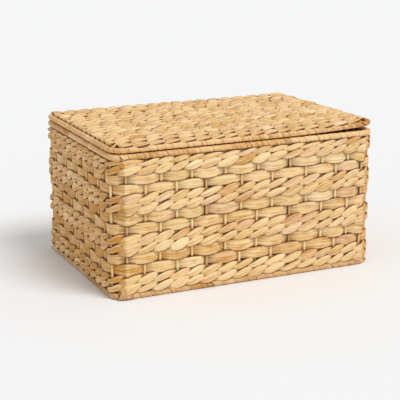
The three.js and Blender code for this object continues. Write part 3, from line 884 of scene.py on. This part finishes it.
class WOVENBOX_OT_stage(bpy.types.Operator):
    """Lays the floor and sets the light and the camera."""

    bl_idname = "wovenbox.stage"
    bl_label = "Stage"

    def execute(self, context):
        settings = context.scene.woven_stage
        scene = context.scene
        scene.view_settings.view_transform = "Standard"
        mesh = bpy.data.meshes.new("floor")
        turns = ((-1, -1), (1, -1), (1, 1), (-1, 1))
        corners = [(FLOOR_REACH * x, FLOOR_REACH * y, 0) for x, y in turns]
        mesh.from_pydata(corners, [], [(0, 1, 2, 3)])
        floor = add_object("floor", mesh)
        paper = bpy.data.materials.new("floor_paper")
        paper.use_nodes = True
        shader = paper.node_tree.nodes["Principled BSDF"]
        shader.inputs["Base Color"].default_value = (*settings.floor, 1.0)
        shader.inputs["Roughness"].default_value = PAPER_ROUGHNESS
        shader.inputs["Specular IOR Level"].default_value = 0.0
        mesh.materials.append(paper)

        world = bpy.data.worlds.new("soft_room")
        world.use_nodes = True
        room = world.node_tree.nodes["Background"]
        room.inputs["Color"].default_value = (1, 1, 1, 1)
        room.inputs["Strength"].default_value = settings.fill
        scene.world = world

        key = bpy.data.lights.new("key_light", "SUN")
        key.energy = settings.key
        key.angle = settings.key_size
        lamp = add_object("key_light", key)
        lamp.rotation_euler = (math.pi / 2 - settings.key_height, 0, settings.key_turn)

        a, e = settings.azimuth, settings.elevation
        back = Vector((math.sin(a) * math.cos(e), -math.cos(a) * math.cos(e), math.sin(e)))
        right = Vector((math.cos(a), math.sin(a), 0))
        aim = right * settings.side_shift + Vector((0, 0, settings.aim_height))
        camera = bpy.data.cameras.new("camera")
        camera.lens = settings.lens
        eye = add_object("camera", camera)
        eye.location = aim + back * settings.distance
        eye.rotation_euler = (-back).to_track_quat("-Z", "Y").to_euler()
        scene.camera = eye
        return {"FINISHED"}


# The first number of each group's chance draws
SEEDS = {"twined": 100, "plain": 200, "uprights": 300, "lid": 400, "base": 500, "rims": 600}

# How the other strands' sections differ from a twined one's
STRIP_SECTION = {"squareness": 0.45, "crease_depth": 0.5 * MM}
UPRIGHT_SECTION = {"around": 12, "squareness": 1.0, "girth": 9 * MM, "crease_depth": 0.3 * MM}
RIB_SECTION = {"around": 8, "squareness": 1.0, "girth": 8 * MM}
# The rims take painted shade at the edges of their wraps.
RIM_SECTION = {"around": 10, "squareness": 0.5, "dark_edges": 0.8, "crease_depth": 0.3 * MM}
SMALL_AROUND = 12
# How strongly painted shade darkens the flat strips' edges
STRIP_EDGE_SHADE = 0.99

# Stations along an upright and a rib, and points round a knot or a hinge loop
UPRIGHT_STATIONS = 24
RIB_STATIONS = 40
TURN_POINTS = 49

# Tones and how much they stray from piece to piece, or from patch to patch of a rim
POST_TONE, STAKE_TONE, UPRIGHT_SPREAD = 0.55, 0.65, 0.12
RIB_TONE, RIB_SPREAD = 0.5, 0.15
RIM_TONE, RIM_SPREAD, RIM_PATCHES = 0.5, 0.14, 24
KNOT_TONE, KNOT_SPREAD, KNOT_TINT = 0.6, 0.15, 0.5

# How much neighbouring wraps differ, how many times more a patch's tint strays than its tone, and
# how much the knot's strip narrows upwards
WRAP_SPREAD = 0.08
TINT_OVER_TONE = 1.5
KNOT_NARROWING = 0.3


def wall_courses(letter):
    """The wall's courses of one kind: number, CAD nodes, level and height."""
    kind, ends = {"T": ("twined", ("_outer", "_inner")), "P": ("plain", ("",))}[letter]
    for i, course in enumerate(WALL_COURSES):
        if course == letter:
            nodes = [f"{kind}_course_{i + 1:02d}{end}" for end in ends]
            low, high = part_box(nodes[0])
            yield i + 1, nodes, (low.z + high.z) / 2, high.z - low.z


class WOVENBOX_OT_twined_courses(bpy.types.Operator):
    """Weaves the wall's twined courses, two strands each."""

    bl_idname = "wovenbox.twined_courses"
    bl_label = "Twined Courses"

    def execute(self, context):
        settings = context.scene.woven_weave
        for number, nodes, level, height in wall_courses("T"):
            rng = np.random.default_rng(SEEDS["twined"] + number)
            for first, node in enumerate(nodes):
                way = wall_way(level, BACK_UPRIGHT + first, settings)
                strands = [twined_strand(way, height, first, rng, settings)]
                name = f"twined_strand_{number:02d}_{'ab'[first]}"
                seed = float(number + first * COUNT)
                piece = sweep(name, strands, finish_for("wall_strand"), seed=seed)
                fit(piece, "root", "hyacinth_strand", node)
        return {"FINISHED"}


class WOVENBOX_OT_plain_courses(bpy.types.Operator):
    """Weaves the wall's plain courses, one flat strip each."""

    bl_idname = "wovenbox.plain_courses"
    bl_label = "Plain Courses"

    def execute(self, context):
        settings = context.scene.woven_weave
        for number, nodes, level, height in wall_courses("P"):
            rng = np.random.default_rng(SEEDS["plain"] + number)
            first = 0 if number in STRIP_FIRST_OUTSIDE else 1
            neighbour = -1 if WALL_COURSES[number] == "P" else 1
            way = wall_way(level, BACK_UPRIGHT + first, settings)
            strands = [plain_strand(way, height, first, neighbour, rng, settings)]
            sizes = {"dark_edges": STRIP_EDGE_SHADE, "seed": float(number), **STRIP_SECTION}
            name = f"plain_strip_{number:02d}"
            piece = sweep(name, strands, finish_for("wall_strand"), **sizes)
            fit(piece, "root", "hyacinth_strand", *nodes)
        return {"FINISHED"}


def rod(points, radius, tone):
    """A round rod along some points, closed at its ends."""
    upright = abs(points[-1][2] - points[0][2]) > abs(points[-1][1] - points[0][1])
    out = -BACK if upright else UP
    return strand(points, out, 2 * radius, 2 * radius, False, (tone, 0.0, 0.0))


class WOVENBOX_OT_uprights(bpy.types.Operator):
    """Stands the thick posts and the thin stakes between the rims."""

    bl_idname = "wovenbox.uprights"
    bl_label = "Uprights"

    def execute(self, context):
        settings = context.scene.woven_weave
        rng = np.random.default_rng(SEEDS["uprights"])
        levels = np.linspace(BASE_LEVEL + WIRE_RADIUS, RIM_LEVEL - WIRE_RADIUS, UPRIGHT_STATIONS)
        plans = np.array([wall_line(uprights_at(level))[0] for level in levels])
        rods = {True: [], False: []}
        for i, is_post in enumerate(IS_POST):
            radius = WIRE_RADIUS if is_post else settings.stake / 2
            points = np.column_stack([plans[:, i], levels])
            tone = rng.normal(POST_TONE if is_post else STAKE_TONE, UPRIGHT_SPREAD)
            tone += settings.corner_wear * (i in CORNER_POSTS)
            # Painted shade on the uprights away from the front, on the sides that the light misses
            tone -= settings.unbleached * (i > LONG_INTERVALS)
            rods[bool(is_post)].append(rod(points, radius, tone))
        # The posts take painted shade down their sides, the stakes none
        kinds = (
            ("posts", True, "straw_post", 1.0, "frame_wire", nodes_named("frame_post_")),
            ("stakes", False, "reed_stake", 0.0, "hyacinth_stake", nodes_named("stakes_")),
        )
        for name, is_post, finish, dark_edges, slot, nodes in kinds:
            skin = finish_for(finish)
            piece = sweep(name, rods[is_post], skin, dark_edges=dark_edges, **UPRIGHT_SECTION)
            fit(piece, "root", slot, *nodes)
        return {"FINISHED"}


def wound_strand(level, pitch, lifted, rng, settings, looks):
    """The strip wound round a ring of the frame, thinner on the lid. looks gives tone and
    tint by distance from the left end of the front."""
    radius = RIM_RADIUS * (settings.lid_rim_share if lifted else 1)
    wraps = round(WALL_LENGTH / pitch)
    turns = np.linspace(0, wraps, wraps * settings.steps + 1)
    sizes = rng.uniform(1 - settings.pitch_spread, 1 + settings.pitch_spread, wraps)
    sizes *= WALL_LENGTH / sizes.sum()
    along = np.interp(turns, np.arange(wraps + 1), np.concatenate([[0], np.cumsum(sizes)]))
    along = np.mod(along + BACK_MIDDLE, WALL_LENGTH)
    plan, out = wall_line(along)
    out = np.column_stack([out, np.zeros(len(turns))])
    back = np.column_stack([out[:, 1], -out[:, 0], out[:, 2]])
    angle = -2 * math.pi * turns
    radial = out * np.cos(angle)[:, None] + UP * np.sin(angle)[:, None]
    base = np.column_stack([plan, np.full(len(turns), level)])
    if lifted:
        base[:, 2] += lid_lift(base[:, 0], base[:, 1])
    points = base + radial * (radius - settings.lap - settings.thickness / 2)
    wrap = np.floor(turns).astype(int) % wraps
    width = stepped(sizes, turns, True) * (1 + settings.overlap)
    side = np.searchsorted(SIDE_STARTS[1:-1], along, side="right")
    bent = along - SIDE_STARTS[side] > STRAIGHTS[side]
    hug = np.where(bent, (width / 2) ** 2 / (2 * BEND_RADIUS), 0.0)
    tilt = settings.lap / (pitch / 2)
    tone, tint = looks(along)
    tone = tone + rng.uniform(-WRAP_SPREAD, WRAP_SPREAD, wraps)[wrap]
    looks, hug = (tone, tint, 0.0), -out * hug[:, None]
    return strand(points, radial, width, settings.thickness, True, looks, back, tilt, hug)


def patchy(rng, front):
    """A rim's tone and tint, which keep for a length of strip and then change. front gives
    them from the front's left end on, and the rest, or all of them, are drawn."""
    ends = [patch[0] * MM for patch in front]
    start = ends[-1] if front else 0.0
    edges = start + np.sort(rng.uniform(0, WALL_LENGTH - start, RIM_PATCHES))
    edges = np.concatenate([ends, edges])
    tones = rng.normal(RIM_TONE, RIM_SPREAD, len(edges) + 1)
    tints = rng.normal(0, RIM_SPREAD * TINT_OVER_TONE, len(edges) + 1)
    for i, patch in enumerate(front):
        tones[i], tints[i] = patch[1:]

    def looks(along):
        pick = np.searchsorted(edges, along)
        return tones[pick], tints[pick]

    return looks


def foot_knot(settings):
    """Turns of strip over the bottom rim at the front left corner, fanned out at the foot,
    which bind it to the post."""
    turn = np.linspace(0, 2 * math.pi, TURN_POINTS)
    across, rise = np.cos(turn), np.sin(turn)
    below = BASE_LEVEL - settings.thickness
    level = BASE_LEVEL + rise * np.where(rise > 0, settings.knot_height, below)
    middle = (settings.knot_turns - 1) / 2
    strands = []

    # The turns are three times as far apart at the foot as at the top.
    for i in range(settings.knot_turns):
        fan = (i - middle) * settings.knot_width * (2 - rise) / 3
        plan, out = wall_line(fan - settings.knot_width / 2)
        plan = plan + out * (across * settings.knot_reach)[:, None]
        points = np.column_stack([plan, level])
        radial = np.column_stack([out * across[:, None], rise])
        looks = (KNOT_TONE + KNOT_SPREAD * (-1) ** i, KNOT_TINT, 0.0)
        width = settings.knot_width * (1 - KNOT_NARROWING * rise)
        strands.append(strand(points, radial, width, settings.thickness, True, looks))
    return strands


class WOVENBOX_OT_rims(bpy.types.Operator):
    """Winds the rims of the body and of the lid."""

    bl_idname = "wovenbox.rims"
    bl_label = "Rims"

    def execute(self, context):
        settings = context.scene.woven_winding
        rims = (
            ("rim_top", RIM_LEVEL, settings.pitch, "root", "wound_rim", FRONT_RIM_PATCHES),
            ("rim_bottom", BASE_LEVEL, settings.foot_pitch, "root", "wound_foot", FRONT_FOOT_PATCHES),
            ("lid_rim", LID_LEVEL, settings.pitch, "lid", "wound_rim", ()),
        )
        for i, (node, level, pitch, body, finish, front) in enumerate(rims):
            rng = np.random.default_rng(SEEDS["rims"] + i)
            looks = patchy(rng, front)
            strands = [wound_strand(level, pitch, body == "lid", rng, settings, looks)]
            skin = finish_for(finish)
            piece = sweep(node + "_winding", strands, skin, seed=float(i), **RIM_SECTION)
            fit(piece, body, "hyacinth_rim", node)
        turns = foot_knot(settings)
        knot = sweep("foot_knot", turns, finish_for("wound_foot"), around=SMALL_AROUND)
        fit(knot, "root", "hyacinth_rim", "rim_bottom")
        return {"FINISHED"}


def mat_strands(courses, level, lifted, rng, settings, mat):
    """The twined strands and the plain strips of the lid or the base, from the back."""
    shares = [MAT_TWINED_SHARE if c == "T" else 1 - MAT_TWINED_SHARE for c in courses]
    front = HALF_Y - mat.edge
    edge = front - mat.hinge_room if lifted else front
    heights = np.array(shares) / sum(shares) * (front + edge)
    twined, plain = [], []
    for i, (kind, height) in enumerate(zip(courses, heights)):
        shift = rng.uniform(-mat.shift, mat.shift) if lifted else 0.0
        way = mat_way(edge - height / 2, height, level, lifted, shift, settings, mat)
        edge -= height
        if lifted and i == len(courses) - 1:
            way["flat"] = mat.edge_fullness
            # The lid's front course takes half the painted shade.
            way["shade_weight"] = way["shade_weight"] / 2
        if kind == "T":
            twined += [twined_strand(way, height, first, rng, settings) for first in (0, 1)]
        else:
            neighbour = -1 if courses[i + 1 : i + 2] == "P" else 1
            plain.append(plain_strand(way, height, i % 2, neighbour, rng, settings))
    return twined, plain


def rib_rods(level, lifted, rng, mat):
    """The ribs of the lid or the base, from rim to rim."""
    reach = HALF_Y - WIRE_RADIUS
    stations = np.linspace(-reach, reach, RIB_STATIONS)
    rods = []
    for x in rib_places()[1:-1]:
        lift = lid_lift(x, stations) if lifted else 0 * stations
        points = np.column_stack([np.full(RIB_STATIONS, x), stations, level + lift])
        rods.append(rod(points, mat.rib / 2, rng.normal(RIB_TONE, RIB_SPREAD)))
    return rods


def weave_mat(name, body, level, courses, finish, braces, context):
    """Weaves the lid or the base: twined strands, plain strips, and the ribs under them."""
    settings, mat = context.scene.woven_weave, context.scene.woven_mat
    lifted = body == "lid"
    rng = np.random.default_rng(SEEDS[name])
    twined, plain = mat_strands(courses, level, lifted, rng, settings, mat)
    skin, weaves = finish_for(finish), nodes_named(name + "_weave_")
    piece = sweep(name + "_twined_strands", twined, skin, around=SMALL_AROUND)
    fit(piece, body, "hyacinth_strand", *weaves)
    if plain:
        sizes = {"around": SMALL_AROUND, "seed": 1.0, **STRIP_SECTION}
        piece = sweep(name + "_plain_strips", plain, skin, **sizes)
        fit(piece, body, "hyacinth_strand", *weaves)
    ribs = rib_rods(level, lifted, rng, mat)
    piece = sweep(name + "_ribs", ribs, finish_for("reed_stake"), **RIB_SECTION)
    fit(piece, body, "hyacinth_stake", *nodes_named(*braces))


class WOVENBOX_OT_lid_panel(bpy.types.Operator):
    """Weaves the lid's panel over its ribs."""

    bl_idname = "wovenbox.lid_panel"
    bl_label = "Lid Panel"

    def execute(self, context):
        braces = ("lid_ribs_", "lid_brace_")
        weave_mat("lid", "lid", LID_LEVEL, LID_COURSES, "lid_strand", braces, context)
        return {"FINISHED"}


class WOVENBOX_OT_base_panel(bpy.types.Operator):
    """Weaves the base over its ribs."""

    bl_idname = "wovenbox.base_panel"
    bl_label = "Base Panel"

    def execute(self, context):
        weave_mat("base", "root", BASE_LEVEL, BASE_COURSES, "wall_strand", ["base_brace_"], context)
        return {"FINISHED"}


# Decimals to which a point of a loop counts as level with its middle
ROUNDING = 6


class WOVENBOX_OT_hinge_loops(bpy.types.Operator):
    """Winds the loops that hold the lid's back rim to the body's."""

    bl_idname = "wovenbox.hinge_loops"
    bl_label = "Hinge Loops"

    def execute(self, context):
        settings = context.scene.woven_winding
        turn = np.linspace(0, 2 * math.pi, TURN_POINTS)
        radial = np.column_stack([np.zeros(len(turn)), np.cos(turn), np.sin(turn)])
        half = np.sign(np.round(radial[:, 2], ROUNDING))
        middle, rise = (LID_LEVEL + RIM_LEVEL) / 2, (LID_LEVEL - RIM_LEVEL) / 2
        for node in HINGE_LOOPS:
            low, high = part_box(node)
            width = (high.x - low.x) / settings.loop_turns
            turns = []
            for i in range(settings.loop_turns):
                points = radial * settings.loop_radius
                points[:, 0] += low.x + width * (i + 0.5)
                points[:, 1] += HALF_Y
                points[:, 2] += middle + rise * half
                looks = (RIM_TONE + WRAP_SPREAD * (-1) ** i, 0.0, 0.0)
                turns.append(strand(points, radial, width, settings.thickness, True, looks))
            piece = sweep(node + "_strip", turns, finish_for("wound_rim"), around=SMALL_AROUND)
            fit(piece, "root", "hyacinth_rim", node)
        return {"FINISHED"}


class WOVENBOX_OT_wires(bpy.types.Operator):
    """Paints what is left in sight of the wire frame."""

    bl_idname = "wovenbox.wires"
    bl_label = "Wires"

    def execute(self, context):
        for node in nodes_named("frame_top_ring", "frame_bottom_ring", "lid_frame_ring"):
            slots = frame["nodes"][node].data.materials
            slots.clear()
            slots.append(finish_for("painted_wire"))
        return {"FINISHED"}


class WOVENBOX_PT_panel(bpy.types.Panel):
    """Lists the pieces of the box and their settings."""

    bl_idname = "WOVENBOX_PT_panel"
    bl_label = "Woven Box"
    bl_space_type = "VIEW_3D"
    bl_region_type = "UI"
    bl_category = "Woven Box"

    def draw(self, context):
        for kind in OPERATORS:
            self.layout.operator(kind.bl_idname)
        for group in GROUPS:
            settings = getattr(context.scene, group)
            for name in settings.__annotations__:
                self.layout.prop(settings, name)


OPERATORS = (
    WOVENBOX_OT_stage,
    WOVENBOX_OT_twined_courses,
    WOVENBOX_OT_plain_courses,
    WOVENBOX_OT_uprights,
    WOVENBOX_OT_rims,
    WOVENBOX_OT_lid_panel,
    WOVENBOX_OT_base_panel,
    WOVENBOX_OT_hinge_loops,
    WOVENBOX_OT_wires,
)
GROUPS = {
    "woven_weave": WeaveSettings,
    "woven_mat": MatSettings,
    "woven_winding": WindingSettings,
    "woven_colours": ColourSettings,
    "woven_stage": StageSettings,
}


def register():
    for kind in (*GROUPS.values(), *OPERATORS, WOVENBOX_PT_panel):
        bpy.utils.register_class(kind)
    for name, kind in GROUPS.items():
        setattr(bpy.types.Scene, name, PointerProperty(type=kind))


def unregister():
    for name in GROUPS:
        delattr(bpy.types.Scene, name)
    for kind in (WOVENBOX_PT_panel, *reversed(OPERATORS), *GROUPS.values()):
        bpy.utils.unregister_class(kind)


def main():
    register()
    for kind in OPERATORS:
        name = kind.bl_idname.split(".")[1]
        getattr(bpy.ops.wovenbox, name)()


if __name__ == "__main__":
    main()
